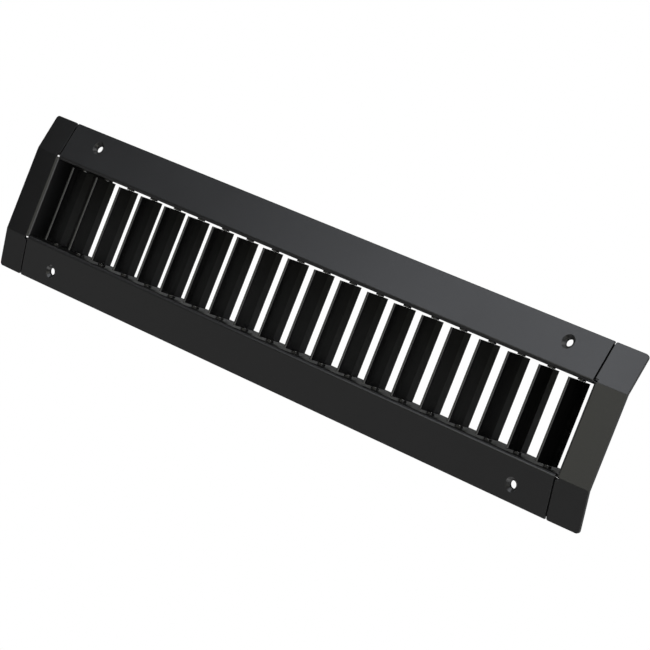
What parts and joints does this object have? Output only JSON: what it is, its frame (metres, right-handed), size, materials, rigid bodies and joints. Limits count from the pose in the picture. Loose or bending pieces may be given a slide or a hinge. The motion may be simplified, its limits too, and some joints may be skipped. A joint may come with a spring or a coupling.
{
  "type": "single deflection duct grille",
  "caption": "Long narrow supply grille for the side of a round duct: folded sheet frame with sloping flanges and a row of upright blades that swivel one by one.",
  "frame": {"origin": "centre of the throat's back rim, the lowest plane of the grille as it lies face up", "axes": "+X along the grille, +Y across it to the upper flange of the picture, +Z out of the face"},
  "size_m": [0.4494, 0.0932, 0.0399],
  "materials": {
    "frame_sheet": "satin black powder coat",
    "blade": "satin black powder coat",
    "bushing": "moulded black",
    "pivot_pin": "drawn"
  },
  "bodies": {
    "frame": {"upper_rail": "frame_sheet", "lower_rail": "frame_sheet", "left_end_cap": "frame_sheet", "right_end_cap": "frame_sheet", "upper_bushings": "bushing", "lower_bushings": "bushing"},
    "blade_01": {"blade_01": "blade", "pivot_pins_01": "pivot_pin"},
    "blade_02": {"blade_02": "blade", "pivot_pins_02": "pivot_pin"},
    "blade_03": {"blade_03": "blade", "pivot_pins_03": "pivot_pin"},
    "blade_04": {"blade_04": "blade", "pivot_pins_04": "pivot_pin"},
    "blade_05": {"blade_05": "blade", "pivot_pins_05": "pivot_pin"},
    "blade_06": {"blade_06": "blade", "pivot_pins_06": "pivot_pin"},
    "blade_07": {"blade_07": "blade", "pivot_pins_07": "pivot_pin"},
    "blade_08": {"blade_08": "blade", "pivot_pins_08": "pivot_pin"},
    "blade_09": {"blade_09": "blade", "pivot_pins_09": "pivot_pin"},
    "blade_10": {"blade_10": "blade", "pivot_pins_10": "pivot_pin"},
    "blade_11": {"blade_11": "blade", "pivot_pins_11": "pivot_pin"},
    "blade_12": {"blade_12": "blade", "pivot_pins_12": "pivot_pin"},
    "blade_13": {"blade_13": "blade", "pivot_pins_13": "pivot_pin"},
    "blade_14": {"blade_14": "blade", "pivot_pins_14": "pivot_pin"},
    "blade_15": {"blade_15": "blade", "pivot_pins_15": "pivot_pin"},
    "blade_16": {"blade_16": "blade", "pivot_pins_16": "pivot_pin"},
    "blade_17": {"blade_17": "blade", "pivot_pins_17": "pivot_pin"},
    "blade_18": {"blade_18": "blade", "pivot_pins_18": "pivot_pin"},
    "blade_19": {"blade_19": "blade", "pivot_pins_19": "pivot_pin"},
    "blade_20": {"blade_20": "blade", "pivot_pins_20": "pivot_pin"}
  },
  "joints": [
    {"name": "blade_01_swivel", "type": "hinge", "parent": "frame", "child": "blade_01", "pos_m": [-0.19, 0, 0.0293], "axis": [0, 1, 0], "range_deg": [-45, 45]},
    {"name": "blade_02_swivel", "type": "hinge", "parent": "frame", "child": "blade_02", "pos_m": [-0.17, 0, 0.0293], "axis": [0, 1, 0], "range_deg": [-45, 45]},
    {"name": "blade_03_swivel", "type": "hinge", "parent": "frame", "child": "blade_03", "pos_m": [-0.15, 0, 0.0293], "axis": [0, 1, 0], "range_deg": [-45, 45]},
    {"name": "blade_04_swivel", "type": "hinge", "parent": "frame", "child": "blade_04", "pos_m": [-0.13, 0, 0.0293], "axis": [0, 1, 0], "range_deg": [-45, 45]},
    {"name": "blade_05_swivel", "type": "hinge", "parent": "frame", "child": "blade_05", "pos_m": [-0.11, 0, 0.0293], "axis": [0, 1, 0], "range_deg": [-45, 45]},
    {"name": "blade_06_swivel", "type": "hinge", "parent": "frame", "child": "blade_06", "pos_m": [-0.09, 0, 0.0293], "axis": [0, 1, 0], "range_deg": [-45, 45]},
    {"name": "blade_07_swivel", "type": "hinge", "parent": "frame", "child": "blade_07", "pos_m": [-0.07, 0, 0.0293], "axis": [0, 1, 0], "range_deg": [-45, 45]},
    {"name": "blade_08_swivel", "type": "hinge", "parent": "frame", "child": "blade_08", "pos_m": [-0.05, 0, 0.0293], "axis": [0, 1, 0], "range_deg": [-45, 45]},
    {"name": "blade_09_swivel", "type": "hinge", "parent": "frame", "child": "blade_09", "pos_m": [-0.03, 0, 0.0293], "axis": [0, 1, 0], "range_deg": [-45, 45]},
    {"name": "blade_10_swivel", "type": "hinge", "parent": "frame", "child": "blade_10", "pos_m": [-0.01, 0, 0.0293], "axis": [0, 1, 0], "range_deg": [-45, 45]},
    {"name": "blade_11_swivel", "type": "hinge", "parent": "frame", "child": "blade_11", "pos_m": [0.01, 0, 0.0293], "axis": [0, 1, 0], "range_deg": [-45, 45]},
    {"name": "blade_12_swivel", "type": "hinge", "parent": "frame", "child": "blade_12", "pos_m": [0.03, 0, 0.0293], "axis": [0, 1, 0], "range_deg": [-45, 45]},
    {"name": "blade_13_swivel", "type": "hinge", "parent": "frame", "child": "blade_13", "pos_m": [0.05, 0, 0.0293], "axis": [0, 1, 0], "range_deg": [-45, 45]},
    {"name": "blade_14_swivel", "type": "hinge", "parent": "frame", "child": "blade_14", "pos_m": [0.07, 0, 0.0293], "axis": [0, 1, 0], "range_deg": [-45, 45]},
    {"name": "blade_15_swivel", "type": "hinge", "parent": "frame", "child": "blade_15", "pos_m": [0.09, 0, 0.0293], "axis": [0, 1, 0], "range_deg": [-45, 45]},
    {"name": "blade_16_swivel", "type": "hinge", "parent": "frame", "child": "blade_16", "pos_m": [0.11, 0, 0.0293], "axis": [0, 1, 0], "range_deg": [-45, 45]},
    {"name": "blade_17_swivel", "type": "hinge", "parent": "frame", "child": "blade_17", "pos_m": [0.13, 0, 0.0293], "axis": [0, 1, 0], "range_deg": [-45, 45]},
    {"name": "blade_18_swivel", "type": "hinge", "parent": "frame", "child": "blade_18", "pos_m": [0.15, 0, 0.0293], "axis": [0, 1, 0], "range_deg": [-45, 45]},
    {"name": "blade_19_swivel", "type": "hinge", "parent": "frame", "child": "blade_19", "pos_m": [0.17, 0, 0.0293], "axis": [0, 1, 0], "range_deg": [-45, 45]},
    {"name": "blade_20_swivel", "type": "hinge", "parent": "frame", "child": "blade_20", "pos_m": [0.19, 0, 0.0293], "axis": [0, 1, 0], "range_deg": [-45, 45]}
  ]
}
